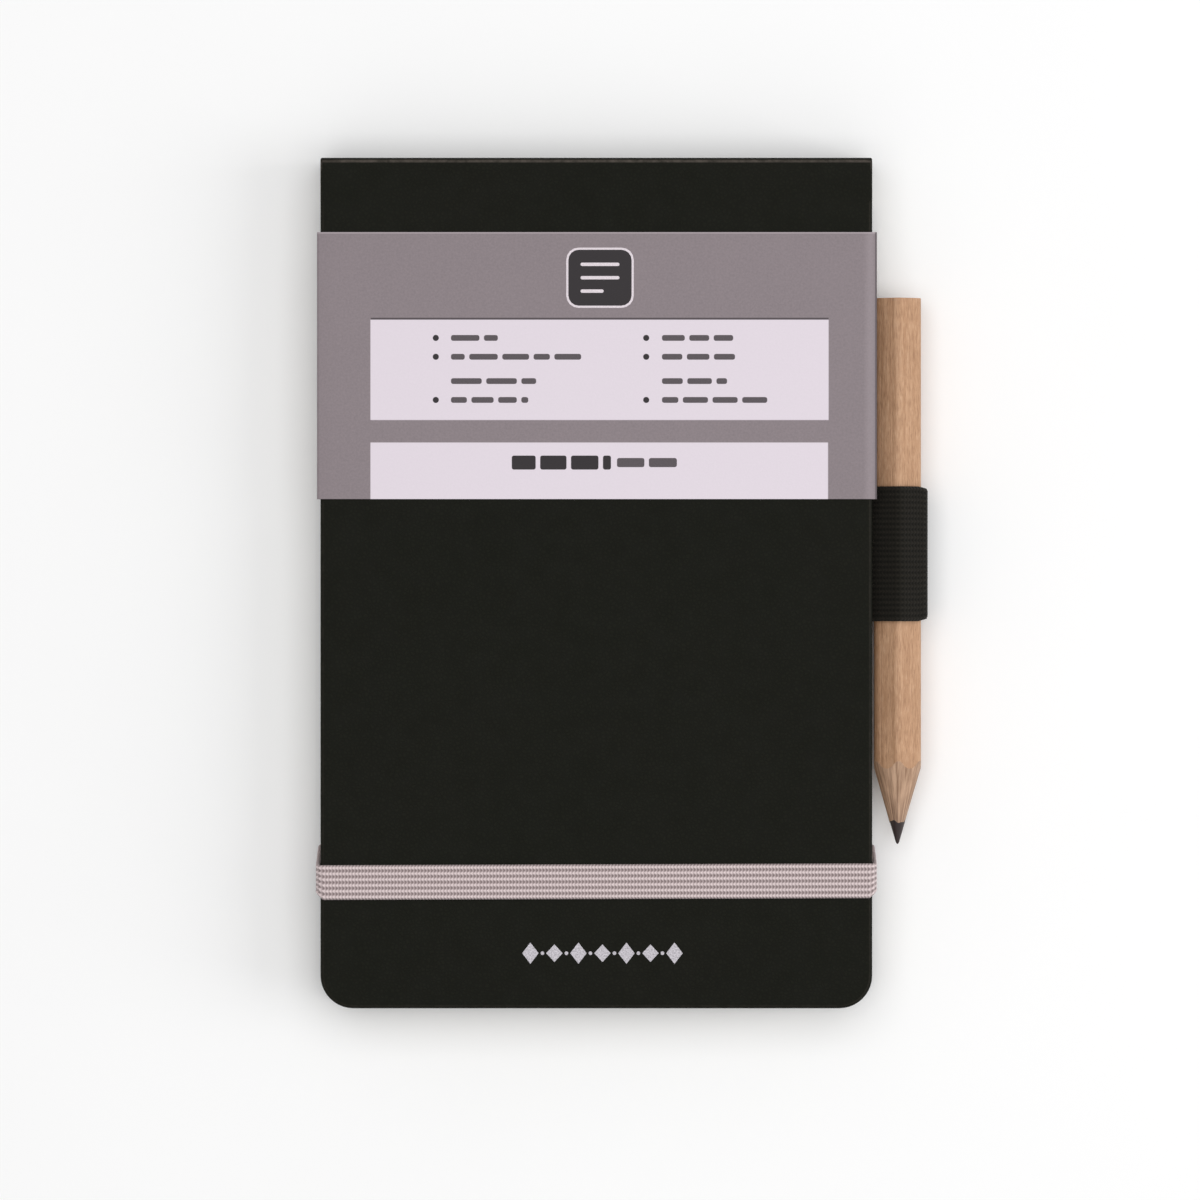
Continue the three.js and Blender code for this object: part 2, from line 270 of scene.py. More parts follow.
def grey_board():
    g = Graph("grey_board", Specular_IOR_Level=0.15)
    p = g.place((1, 1, 3))
    fibre = g.noise(p, 0.3, 5, 0.7)
    flecks = g.between(g.cells(p, 0.9), 0.05, 0.22, 1.0, 0.0)
    tone = g.mix(fibre, rgb(122, 117, 110), rgb(158, 153, 146))
    tone = g.mix(g.math("MULTIPLY", flecks, 0.35), tone, rgb(84, 80, 76))
    rough = g.between(fibre, 0.2, 0.8, 0.85, 0.98)
    return g.finish(tone, rough, fibre, depth=0.08)


def gauze():
    g = Graph("lining_gauze", Specular_IOR_Level=0.15)
    x, _, z = g.axes(g.place())
    threads = [g.math("SINE", g.math("MULTIPLY", axis, TAU / 0.7)) for axis in (x, z)]
    weave = g.math("MAXIMUM", *threads)
    tone = g.mix(g.between(weave, -0.4, 0.8), rgb(150, 144, 130), rgb(226, 220, 206))
    rough = g.between(weave, -1, 1, 0.95, 0.85)
    return g.finish(tone, rough, weave, depth=0.12)


# The two pale panels printed on the band: left, right, bottom, top.
PANELS = [(-37.15, 38.2, 26.8, 43.3), (-37.15, 38.1, 13.0, 23.1)]


def band_card():
    """Mauve card with pale panels outside, a pale cut edge, a painted highlight along the
    right-hand fold, and painted shade where it turns down.
    """
    g = Graph("band_card", Specular_IOR_Level=0.3)
    p = g.place()
    x, y, z = g.axes(p)
    fibre = g.noise(p, 0.35, 5, 0.65)
    mottled = g.noise(p, 9.0, 3)
    tone = g.mix(g.between(fibre, 0.3, 0.7), rgb(127, 117, 121), rgb(141, 130, 134))
    tone = g.mix(g.math("MULTIPLY", mottled, 0.2), tone, rgb(150, 138, 142))
    outside = g.between(z, TOP_Z + 0.1, TOP_Z + 0.2)
    inside = g.between(z, INNER_Z - 0.16, INNER_Z - 0.12, 1.0, 0.0)
    for x0, x1, y0, y1 in PANELS:
        box = g.math("MULTIPLY", g.within(x, x0, x1), g.within(y, y0, y1))
        box = g.math("MULTIPLY", box, outside)
        light = g.mix(fibre, rgb(220, 210, 219), rgb(228, 218, 227))
        tone = g.mix(box, tone, light)
    rule = g.math("MULTIPLY", g.within(x, -37.1, 38.2), g.within(y, 43.32, 43.62, 0.04))
    tone = g.mix(g.math("MULTIPLY", rule, outside), tone, rgb(82, 74, 78))
    cut_edge = g.math("MULTIPLY", g.between(y, BAND_TOP - 0.28, BAND_TOP - 0.2), 0.4)
    tone = g.mix(g.math("MULTIPLY", cut_edge, outside), tone, rgb(196, 184, 189))
    # Painted highlight: a paler strip along the right-hand fold only.
    fold = g.math("MULTIPLY", g.within(x, 44.6, 45.5, 0.7), 0.22)
    tone = g.mix(g.math("MULTIPLY", fold, outside), tone, rgb(196, 184, 189))
    # Painted shade: darker where the card faces towards +X, down the side of the fold.
    turned_shade = g.between(g.axes(g.node("TexCoord", out="Normal"))[0], 0.1, 0.4)
    tone = g.mix(g.math("MULTIPLY", turned_shade, 0.7), tone, rgb(62, 54, 58))
    rough = g.between(fibre, 0.2, 0.8, 0.55, 0.7)
    return g.finish(tone, rough, fibre, depth=0.02, strength=0.6)


def elastic(name, light, dark, ribs, stitch, settings):
    """Woven elastic: raised ribs along the tape, with slanting stitches that turn at each rib, and
    painted light on the ribs and painted shade in the grooves.
    """
    g = Graph(name, **settings)
    run, across = g.attribute("run"), g.attribute("across")
    rib = g.math("MULTIPLY", across, float(ribs))
    zigzag = g.math("PINGPONG", rib, 0.5)
    slanted = g.math("ADD", g.math("DIVIDE", run, stitch), g.math("MULTIPLY", zigzag, 1.1))
    thread = g.math("SINE", g.math("MULTIPLY", slanted, TAU))
    ridge = g.math("COSINE", g.math("MULTIPLY", g.math("ADD", rib, 0.5), TAU))
    weave = g.math("ADD", g.math("MULTIPLY", thread, 0.5), g.math("MULTIPLY", ridge, 0.8))
    fuzz = g.noise(g.place(), 0.12, 3, 0.7)
    weave = g.math("ADD", weave, g.math("MULTIPLY", fuzz, 0.8))
    # The colour follows the weave: the slanting stitches are the elastic's own pattern, while the
    # paler ribs and darker grooves are painted light and shade.
    tone = g.mix(g.between(weave, -0.75, 1.45), dark, light)
    rough = g.between(fuzz, 0.2, 0.8, 0.72, 0.9)
    return g.finish(tone, rough, weave, depth=0.07)


def bare_wood():
    """Long grain on the flats, and streaks that run to the point on the sharpened cone."""
    g = Graph("pencil_wood", Specular_IOR_Level=0.3)
    p = g.place()
    long_grain = g.noise(g.place((1, 0.035, 1)), 0.55, 6, 0.7)
    pores = g.noise(g.place((1, 0.12, 1)), 0.2, 4, 0.65)
    bands = g.noise(g.place((1, 0.02, 1)), 1.8, 3)
    tone = g.mix(g.between(long_grain, 0.3, 0.7), rgb(172, 131, 98), rgb(208, 167, 134))
    tone = g.mix(g.math("MULTIPLY", g.between(bands, 0.35, 0.65), 0.45), tone, rgb(182, 138, 104))
    tone = g.mix(g.math("MULTIPLY", g.between(pores, 0.52, 0.66), 0.5), tone, rgb(134, 97, 70))
    tone = g.mix(g.math("MULTIPLY", g.between(pores, 0.46, 0.34), 0.4), tone, rgb(222, 186, 156))
    blotches = g.between(g.noise(p, 2.6, 3), 0.45, 0.7)
    tone = g.mix(g.math("MULTIPLY", blotches, 0.25), tone, rgb(158, 118, 88))
    cut = g.attribute("cut")
    axis = tuple(v * MM for v in (PENCIL_X, 0, PENCIL_Z))
    outward = g.vector("SUBTRACT", g.node("TexCoord", out="Object"), axis)
    outward = g.vector("NORMALIZE", g.vector("MULTIPLY", outward, (1, 0, 1)))
    outward = g.vector("MULTIPLY", outward, (2.2, 0, 2.2))
    along = g.vector("MULTIPLY", p, (0, 0.05, 0))
    streaks = g.noise(g.vector("ADD", outward, along), 0.3, 4, 0.65)
    shaved = g.mix(g.between(streaks, 0.36, 0.66), rgb(200, 165, 138), rgb(138, 106, 82))
    smudge = g.math("MULTIPLY", g.between(cut, 0.55, 1.0), g.between(streaks, 0.35, 0.6))
    shaved = g.mix(g.math("MULTIPLY", smudge, 0.5), shaved, rgb(112, 92, 80))
    tone = g.mix(g.between(cut, 0.0, 0.12), tone, shaved)
    ridges = g.noise(g.place((0.5, 9.0, 0.5)), 1.0, 3)
    ridges = g.math("MULTIPLY", ridges, g.between(cut, 0.0, 0.12))
    height = g.math("ADD", long_grain, g.math("MULTIPLY", ridges, 0.5))
    height = g.math("SUBTRACT", height, g.math("MULTIPLY", pores, 0.6))
    rough = g.between(long_grain, 0.2, 0.8, 0.52, 0.68)
    return g.finish(tone, rough, height, depth=0.04, strength=0.7)


def graphite():
    g = Graph("graphite", Specular_IOR_Level=0.4)
    p = g.place((1, 4, 1))
    grain = g.noise(p, 0.25, 5, 0.7)
    tone = g.mix(grain, rgb(36, 28, 27), rgb(60, 47, 46))
    rough = g.between(grain, 0.2, 0.8, 0.32, 0.5)
    return g.finish(tone, rough, grain, depth=0.02)


def ink(name, color):
    g = Graph(name, Specular_IOR_Level=0.3)
    speckle = g.noise(g.place(), 0.2, 3)
    other = [min(1.0, 1.35 * c + 0.004) for c in color[:3]] + [1.0]
    rough = g.between(speckle, 0.2, 0.8, 0.5, 0.65)
    return g.finish(g.mix(g.between(speckle, 0.4, 0.8), color, other), rough)


def silver_foil():
    g = Graph("silver_foil", Metallic=0.85)
    speckle = g.noise(g.place(), 0.25, 4, 0.7)
    tone = g.mix(g.between(speckle, 0.35, 0.65), rgb(122, 119, 123), rgb(186, 182, 188))
    rough = g.between(speckle, 0.2, 0.8, 0.3, 0.5)
    return g.finish(tone, rough, speckle, depth=0.02)


LEATHER = leatherette()
ENDPAPER = paper("endpaper", rgb(236, 231, 222))
FLYLEAF = paper("flyleaf", rgb(236, 231, 222), bends=True)
PAGE = paper("page_paper", rgb(248, 243, 234), ruled=True, block=True)
LEAF = paper("leaf_paper", rgb(248, 243, 234), ruled=True, bends=True)
BOARD = grey_board()
GAUZE = gauze()
CARD = band_card()
STRAP = elastic(
    "strap_elastic",
    rgb(229, 212, 212),
    rgb(138, 122, 122),
    6,
    0.54,
    {"Specular_IOR_Level": 0.2, "Sheen_Weight": 0.15},
)
LOOP = elastic(
    "loop_elastic",
    rgb(36, 33, 28),
    rgb(18, 17, 13),
    25,
    0.6,
    {"Specular_IOR_Level": 0.12, "Sheen_Weight": 0.05},
)
WOOD = bare_wood()
GRAPHITE = graphite()
DARK_INK = ink("dark_ink", rgb(38, 33, 36))
GREY_INK = ink("grey_ink", rgb(82, 75, 79))
PALE_INK = ink("pale_ink", rgb(214, 204, 210))
FOIL = silver_foil()


# ---- Meshes -------------------------------------------------------------------------------------


def remember_rest(mesh):
    """Keeps every point's place at rest, so that a pattern stays put on a piece that bends."""
    places = [number for vertex in mesh.vertices for number in vertex.co]
    mesh.attributes.new("rest", "FLOAT_VECTOR", "POINT").data.foreach_set("vector", places)


def add_object(name, data):
    made = bpy.data.objects.new(name, data)
    bpy.context.scene.collection.objects.link(made)
    return made


def mesh_object(name, points, faces, material, values=None, smooth=True):
    """A mesh from points in millimetres, with named numbers at each point."""
    mesh = bpy.data.meshes.new(name)
    mesh.from_pydata([metres(*p) for p in points], [], faces)
    mesh.update()
    for key, numbers in (values or {}).items():
        mesh.attributes.new(key, "FLOAT", "POINT").data.foreach_set("value", numbers)
    mesh.materials.append(material)
    remember_rest(mesh)
    if smooth:
        mesh.shade_smooth()
    else:
        mesh.shade_flat()
    return add_object(name, mesh)


def face_outwards(piece):
    shape = bmesh.new()
    shape.from_mesh(piece.data)
    bmesh.ops.recalc_face_normals(shape, faces=shape.faces)
    shape.to_mesh(piece.data)
    shape.free()


def sharp_above(piece, degrees):
    """Keeps a crease wherever two faces meet at more than this angle."""
    piece.data.set_sharp_from_angle(angle=math.radians(degrees))


def thicken(piece, thickness, offset=-1.0):
    """Gives a sheet real thickness, with its cut edges kept crisp."""
    made = piece.modifiers.new("thickness", "SOLIDIFY")
    made.thickness = thickness * MM
    made.offset = offset
    made.use_even_offset = True
    graph = bpy.context.evaluated_depsgraph_get()
    solid = bpy.data.meshes.new_from_object(piece.evaluated_get(graph))
    piece.modifiers.clear()
    piece.data = solid
    sharp_above(piece, 50)


def grid_faces(rows, columns, closed=False, start=0):
    faces = []
    for r in range(rows - 1):
        for c in range(columns if closed else columns - 1):
            a, b = start + r * columns + c, start + r * columns + (c + 1) % columns
            faces.append((a, b, b + columns, a + columns))
    return faces


def spread(low, high, count):
    """count numbers from low to high, both included."""
    return [low + (high - low) * i / (count - 1) for i in range(count)]


def smooth_path(points, per_span):
    """A smooth curve through the points (Catmull-Rom)."""
    out = []
    for i in range(len(points) - 1):
        p0 = points[max(i - 1, 0)]
        p1, p2 = points[i], points[i + 1]
        p3 = points[min(i + 2, len(points) - 1)]
        for k in range(per_span):
            t = k / per_span
            out.append(
                tuple(
                    0.5
                    * (
                        2 * b
                        + (c - a) * t
                        + (2 * a - 5 * b + 4 * c - d) * t * t
                        + (3 * b - a - 3 * c + d) * t * t * t
                    )
                    for a, b, c, d in zip(p0, p1, p2, p3)
                )
            )
    return out + [points[-1]]


# ---- Leatherette --------------------------------------------------------------------------------


def edge_profile(thick):
    """(inset, depth) from the turn-in's edge on the inside, round the edge, onto the outside."""
    r = min(EDGE_RADIUS, 0.48 * thick)
    points = [(TURN_IN, thick), (7, thick), (3, thick), (1.5, thick)]
    for i in range(7):
        a = i / 6 * math.pi / 2
        points.append((r - r * math.sin(a), thick - r + r * math.cos(a)))
    for i in range(7):
        a = i / 6 * math.pi / 2
        points.append((r - r * math.cos(a), r - r * math.sin(a)))
    return points + [(1.5, 0), (3, 0)]


def cover_outline(inset):
    """Down the left side, round the free edge and up the right side, moved inwards by inset."""
    r = max(CORNER_RADIUS - inset, 0.6)
    x, y = HALF_WIDTH - inset - r, FREE_EDGE + inset + r
    points = [(-x - r, v) for v in spread(BOARD_END, y, 20)[:-1]]
    for i in range(11):
        a = math.pi + i / 10 * math.pi / 2
        points.append((-x + r * math.cos(a), y + r * math.sin(a)))
    points += [(v, y - r) for v in spread(-x, x, 14)[1:-1]]
    for i in range(11):
        a = 1.5 * math.pi + i / 10 * math.pi / 2
        points.append((x + r * math.cos(a), y + r * math.sin(a)))
    return points + [(x + r, v) for v in spread(y, BOARD_END, 20)[1:]]


def mark_shoulder_highlight(mesh):
    """Marks a painted highlight where the leatherette turns over an edge, strongest at the spine.
    """
    marks = []
    for vertex in mesh.vertices:
        # Painted highlight: strongest where the surface tilts a little away from straight up.
        level = abs(vertex.normal.z)
        rise, fall = (level - 0.7) / 0.23, (0.998 - level) / 0.023
        highlight_strength = 1.0 if vertex.co.y > SPINE_HIGHLIGHT_START * MM else EDGE_HIGHLIGHT
        marks.append(highlight_strength * clamp(rise) * clamp(fall))
    mesh.attributes.new("shoulder", "FLOAT", "POINT").data.foreach_set("value", marks)


def leather_sheet(name, face_z, inwards, path):
    """Leatherette over one board, carried on along path: (y, z, outward y, outward z, thick)."""
    profile = edge_profile(COVER_THICK)
    points, faces, loops = [], [], []
    for inset, depth in profile:
        loops.append(len(points))
        points += [(x, y, face_z + inwards * depth) for x, y in cover_outline(inset)]
    around = len(cover_outline(0))
    faces += grid_faces(len(profile), around)
    middle = spread(-HALF_WIDTH + 3, HALF_WIDTH - 3, 12)[1:-1]
    middle_row = list(range(len(points), len(points) + len(middle)))
    points += [(x, BOARD_END, face_z) for x in middle]
    row = loops + middle_row + [loop + around - 1 for loop in reversed(loops)]
    # The outside face is one polygon. Each row along path is joined to the row before it.
    faces.append(tuple(range(loops[-1], loops[-1] + around)) + tuple(reversed(middle_row)))
    for y, z, out_y, out_z, thick in path:
        start = len(points)
        edge = edge_profile(thick)
        section = [(-HALF_WIDTH + d, depth) for d, depth in edge]
        section += [(x, 0) for x in middle]
        section += [(HALF_WIDTH - d, depth) for d, depth in reversed(edge)]
        points += [(x, y - out_y * depth, z - out_z * depth) for x, depth in section]
        new_row = list(range(start, len(points)))
        for a, b, c, d in zip(row, row[1:], new_row[1:], new_row):
            faces.append((a, b, c, d))
        row = new_row
    piece = mesh_object(name, points, faces, LEATHER)
    face_outwards(piece)
    centre = max(piece.data.polygons, key=lambda f: f.area)
    if centre.normal.z * inwards > 0:
        piece.data.flip_normals()
    thicken(piece, SKIN)
    mark_shoulder_highlight(piece.data)
    return piece


def joint_path(face_z, inwards, dip, end):
    """From the board's end across the joint, sagging by dip, to Y = end."""
    thinning = 0.9  # the sides thin down to the fold over this length
    path = []
    stations = [62.3, 62.5, 62.75, 63.05, 63.4, 64, 64.7, 65.4, 66.1, 66.7, 67.2, 67.7, SPINE_SEAM]
    for y in stations:
        if y > end:
            break
        t = min(1.0, (y - BOARD_END) / (SPINE_SEAM - BOARD_END))
        sag = dip * math.sin(math.pi * t) ** 0.8
        thick = COVER_THICK + (FOLDED - COVER_THICK) * min(1.0, (y - BOARD_END) / thinning)
        path.append((y, face_z + inwards * sag, 0, -inwards, thick))
    return path


def spine_path():
    """Over the spine's top corner, down its face, and round under its lower corner."""
    r = SPINE_RADIUS
    path = [(SPINE_START, TOP_Z, 0, 1, FOLDED)]
    for i in range(9):
        a = math.pi / 2 * (1 - i / 8)
        c, s = math.cos(a), math.sin(a)
        path.append((SPINE_OUTER - r + r * c, TOP_Z - r + r * s, c, s, FOLDED))
    path += [(SPINE_OUTER, z, 1, 0, FOLDED) for z in spread(TOP_Z - r, r, 12)[1:-1]]
    for i in range(9):
        a = -math.pi / 2 * i / 8
        c, s = math.cos(a), math.sin(a)
        path.append((SPINE_OUTER - r + r * c, r + r * s, c, s, FOLDED))
    return path + [(SPINE_SEAM + 0.03, 0, 0, -1, FOLDED)]


front_leather = leather_sheet(
    "cover_leather_front", TOP_Z, -1, joint_path(TOP_Z, -1, 0.05, JOINT_END) + spine_path()
)
metres(0, 67.4, TOP_Z)
metres(0, BOARD_END, TOP_Z)
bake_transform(front_leather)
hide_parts("front_cover_wrap", "front_joint", "spine_wrap")

back_leather = leather_sheet("cover_leather_back", 0.0, 1, joint_path(0.0, 1, 0.12, SPINE_SEAM))
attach(back_leather, "book")
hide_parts("back_cover_wrap")


def rounded_plate(name, corners, material, bevel, segments=3):
    """A plate between two opposite corners, with its edges rounded."""
    (x0, y0, z0), (x1, y1, z1) = corners
    shape = bmesh.new()
    bmesh.ops.create_cube(shape, size=1)
    for v in shape.verts:
        v.co = Vector(
            metres(
                x0 if v.co.x < 0 else x1,
                y0 if v.co.y < 0 else y1,
                z0 if v.co.z < 0 else z1,
            )
        )
    bmesh.ops.bevel(
        shape,
        geom=shape.edges[:],
        offset=bevel * MM,
        segments=segments,
        profile=0.5,
        affect="EDGES",
    )
    mesh = bpy.data.meshes.new(name)
    shape.to_mesh(mesh)
    shape.free()
    mesh.materials.append(material)
    remember_rest(mesh)
    mesh.shade_smooth()
    return add_object(name, mesh)


# Small pieces close the spine's two ends.
SPINE_END_Y = (67.82, 69.6)
SPINE_END_MARGIN = 0.4
for side, name in ((-1, "spine_end_left"), (1, "spine_end_right")):
    outer, inner = side * (HALF_WIDTH - 0.12), side * (HALF_WIDTH - 0.34)
    low_x, high_x = min(outer, inner), max(outer, inner)
    corners = [
        (low_x, SPINE_END_Y[0], SPINE_END_MARGIN),
        (high_x, SPINE_END_Y[1], TOP_Z - SPINE_END_MARGIN),
    ]
    spine_end = rounded_plate(name, corners, LEATHER, 0.1)
    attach(spine_end, "book")


# ---- Boards, endpapers and lining that keep their CAD shape -------------------------------------


def dress(node, material):
    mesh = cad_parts[node].data
    mesh.materials.clear()
    mesh.materials.append(material)
    mesh.shade_flat()


for node in ("back_board", "front_board", "spine_board"):
    dress(node, BOARD)
for node in ("back_pastedown", "front_pastedown", "back_flyleaf"):
    dress(node, ENDPAPER)
dress("leaf_gutter", PAGE)
dress("spine_lining", GAUZE)


# ---- Pages --------------------------------------------------------------------------------------


def page_outline(half, low, high, inset, segments=8):
    """Anticlockwise from the top right, with rounded corners at the free edge."""
    half, low, high = half - inset, low + inset, high - inset
    r = PAGE_CORNER
    points = [(half, high), (-half, high)]
    points += [(-half, v) for v in spread(high, low + r, 14)[1:-1]]
    for cx, first in ((-half + r, math.pi), (half - r, 1.5 * math.pi)):
        for i in range(segments + 1):
            a = first + i / segments * math.pi / 2
            points.append((cx + r * math.cos(a), low + r + r * math.sin(a)))
    points += [(half, v) for v in spread(low + r, high, 14)[1:-1]]
    return points


def page_section(name, node, seed):
    """Ten leaves, each cut a little differently, so that the edges are really stepped."""
    draw = random.Random(seed)
    low, high = node_box(node)
    leaves = 10
    filled = 0.86  # the rest of each leaf's height is the groove above it
    bevel_in, bevel_up = 0.05, 0.008
    points, levels = [], []
    for i in range(leaves):
        inset = draw.uniform(0.0, 0.07)
        z0 = low[2] + (high[2] - low[2]) * i / leaves
        z1 = low[2] + (high[2] - low[2]) * (i + filled) / leaves
        levels.append((z0, inset + bevel_in))
        levels.append((z0 + bevel_up, inset))
        levels.append((z1 - bevel_up, inset))
        levels.append((z1, inset + bevel_in))
    levels[-1] = (high[2], levels[-1][1])
    for z, inset in levels:
        outline = page_outline(high[0], low[1], high[1], inset)
        count = len(outline)
        points += [(x, y, z) for x, y in outline]
    faces = grid_faces(len(levels), count, closed=True)
    last = (len(levels) - 1) * count
    faces.append(tuple(reversed(range(count))))
    faces.append(tuple(range(last, last + count)))
    piece = mesh_object(name, points, faces, PAGE)
    face_outwards(piece)
    sharp_above(piece, 25)
    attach(piece, "book")
    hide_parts(node)


for index in range(1, 11):
    page_section(f"pages_{index:02d}", f"page_section_{index:02d}", 40 + index)


def turning_leaf(name, node, material, bend):
    """A flat leaf, its rows set closer over the bend length by the gutter, where a turned leaf
    curves up.
    """
    low, high = node_box(node)
    rows = []
    r = PAGE_CORNER
    for y in [*spread(high[1], high[1] - bend, 30), *spread(high[1] - bend, low[1] + r, 30)[1:]]:
        rows.append((y, high[0]))
    for i in range(1, 9):
        a = i / 8 * math.pi / 2
        rows.append((low[1] + r - r * math.sin(a), high[0] - r + r * math.cos(a)))
    columns = 15
    z = (low[2] + high[2]) / 2
    points = [(half * t, y, z) for y, half in rows for t in spread(-1, 1, columns)]
    piece = mesh_object(name, points, grid_faces(len(rows), columns), material)
    thicken(piece, high[2] - low[2] - 0.02, 0.0)
    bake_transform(piece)
    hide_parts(node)


turning_leaf("leaf_front_fly", "front_flyleaf", FLYLEAF, 11.0)
turning_leaf("leaf_first", "first_leaf", LEAF, 9.0)
turning_leaf("leaf_second", "second_leaf", LEAF, 8.0)


# ---- Card band ----------------------------------------------------------------------------------


def card_band():
    """A strip of card creased round the front cover, its ends overlapped inside it."""
    low, high = node_box("card_band")
    card = 0.15
    x0, x1 = low[0], high[0]
    bottom, top = low[2] + 0.01, high[2]
    r = 0.4
    # One end lies over the other inside the cover, and steps down past it.
    path = [(9.0, bottom + 0.17), (2.0, bottom + 0.17), (-5.0, bottom + 0.165)]
    path += [(-6.0, bottom + 0.1), (-7.0, bottom + 0.02), (-8.0, bottom)]
    path += [(v, bottom) for v in (-20.0, -35.0, -43.0)]

    def corner(cx, cz, first, last):
        for i in range(7):
            a = math.radians(first + (last - first) * i / 6)
            path.append((cx + r * math.cos(a), cz + r * math.sin(a)))

    corner(x0 + r, bottom + r, 270, 180)
    path.append((x0, (bottom + top) / 2))
    corner(x0 + r, top - r, 180, 90)
    path += [(v, top) for v in spread(x0 + 3, x1 - 3, 24)]
    corner(x1 - r, top - r, 90, 0)
    path.append((x1, (bottom + top) / 2))
    corner(x1 - r, bottom + r, 0, -90)
    path += [(v, bottom) for v in (43.0, 30.0, 12.0, 3.0, -4.0)]
    ys = spread(low[1], high[1], 12)
    points = [(x, y, z) for x, z in path for y in ys]
    piece = mesh_object("band", points, grid_faces(len(path), len(ys)), CARD)
    top_face = max(piece.data.polygons, key=lambda f: f.center.z)
    if top_face.normal.z < 0:
        piece.data.flip_normals()
    thicken(piece, card)
    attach(piece, "card_band")
    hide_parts("card_band")
    return top


BAND_TOP_Z = card_band()


def flat_marks(name, shapes, z, material, body, thick=0.02):
    """Thin printed or stamped marks: each shape is an outline of (x, y) points."""
    points, faces = [], []
    for outline in shapes:
        start, count = len(points), len(outline)
        points += [(x, y, z) for x, y in outline] + [(x, y, z + thick) for x, y in outline]
        faces += grid_faces(2, count, closed=True, start=start)
        faces.append(tuple(reversed(range(start, start + count))))
        faces.append(tuple(range(start + count, start + 2 * count)))
    piece = mesh_object(name, points, faces, material, smooth=False)
    face_outwards(piece)
    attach(piece, body)


def bar(x0, x1, y, height, corner=0.35):
    """A rounded bar from x0 to x1, centred on y."""
    r = min(corner, height / 2 - 0.01, (x1 - x0) / 2 - 0.01)
    low, high = y - height / 2, y + height / 2
    outline = []
    centres = ((x1 - r, high - r, 0), (x0 + r, high - r, 90))
    centres += ((x0 + r, low + r, 180), (x1 - r, low + r, 270))
    for cx, cy, first in centres:
        for i in range(5):
            a = math.radians(first + 22.5 * i)
            outline.append((cx + r * math.cos(a), cy + r * math.sin(a)))
    return outline


def lozenge(x, y, half_width, half_height):
    return [(x + half_width, y), (x, y + half_height), (x - half_width, y), (x, y - half_height)]


def words(x0, x1, y, height, seed):
    """Word-long bars that fill a line from x0 to x1."""
    draw = random.Random(seed)
    out, x = [], x0
    while x < x1 - 0.8:
        end = min(x1, x + draw.uniform(1.8, 5.2))
        if x1 - end < 1.4:
            end = x1
        out.append(bar(x, end, y, height))
        x = end + 0.75
    return out


# Bars stand for two columns of bulleted text, and for a title below them.
LINES = [40.3, 37.2, 33.2, 30.1]
LEFT_LENGTHS = [7.7, 21.4, 14.0, 12.7]
RIGHT_LENGTHS = [11.7, 12.0, 10.7, 17.3]
text = []
for column, (start, lengths) in enumerate(((-23.9, LEFT_LENGTHS), (10.8, RIGHT_LENGTHS))):
    for row, (y, length) in enumerate(zip(LINES, lengths)):
        text += words(start, start + length, y, 0.95, 10 * column + row)
bullets = [bar(x - 0.5, x + 0.5, y, 1.0, 0.5) for x in (-26.4, 8.2) for y in LINES if y != 33.2]
flat_marks("label_text_bars", text, BAND_TOP_Z, GREY_INK, "card_band")
flat_marks("label_bullets", bullets, BAND_TOP_Z, DARK_INK, "card_band")
title_heavy = words(-13.9, 2.4, 19.8, 2.3, 5)
title_light = words(3.4, 14.7, 19.8, 1.5, 6)
flat_marks("label_title_heavy", title_heavy, BAND_TOP_Z, DARK_INK, "card_band")
flat_marks("label_title_light", title_light, BAND_TOP_Z, GREY_INK, "card_band")
emblem_edge = [bar(-4.95, 6.15, 50.2, 9.9, 2.0)]
flat_marks("label_emblem_edge", emblem_edge, BAND_TOP_Z, PALE_INK, "card_band", 0.01)
emblem = [bar(-4.6, 5.8, 50.2, 9.2, 1.7)]
flat_marks("label_emblem", emblem, BAND_TOP_Z, DARK_INK, "card_band")
emblem_rules = [bar(-2.6, 3.8, y, 0.55, 0.27) for y in (52.4, 50.2)]
emblem_rules.append(bar(-2.6, 1.2, 48.0, 0.55, 0.27))
flat_marks(
    "label_emblem_rules", emblem_rules, BAND_TOP_Z + 0.02, PALE_INK, "card_band"
)

# A plain border in silver foil near the free edge: lozenges with small dots between them.
ORNAMENT_X, ORNAMENT_Y, ORNAMENT_STEP = 1.0, -60.9, 3.95
ornament = []
for place in range(-3, 4):
    x = ORNAMENT_X + ORNAMENT_STEP * place
    ornament.append(lozenge(x, ORNAMENT_Y, 1.35, 1.75 if place % 2 else 1.45))
    if place < 3:
        middle = x + ORNAMENT_STEP / 2
        ornament.append(bar(middle - 0.3, middle + 0.3, ORNAMENT_Y, 0.6, 0.3))
flat_marks("foil_ornament", ornament, TOP_Z - 0.004, FOIL, "front_cover", 0.014)


# ---- Elastic tapes ------------------------------------------------------------------------------


def blend_by_height(piece):
    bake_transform(piece)


TAPE_THICK = 0.72
# (x, z) from the end glued inside the back cover, out past the cover's edge.
TAPE_ROOT = [(38.0, 1.93), (41.0, 1.93), (43.2, 1.95), (43.75, 2.2), (44.2, 2.62), (44.9, 2.72)]


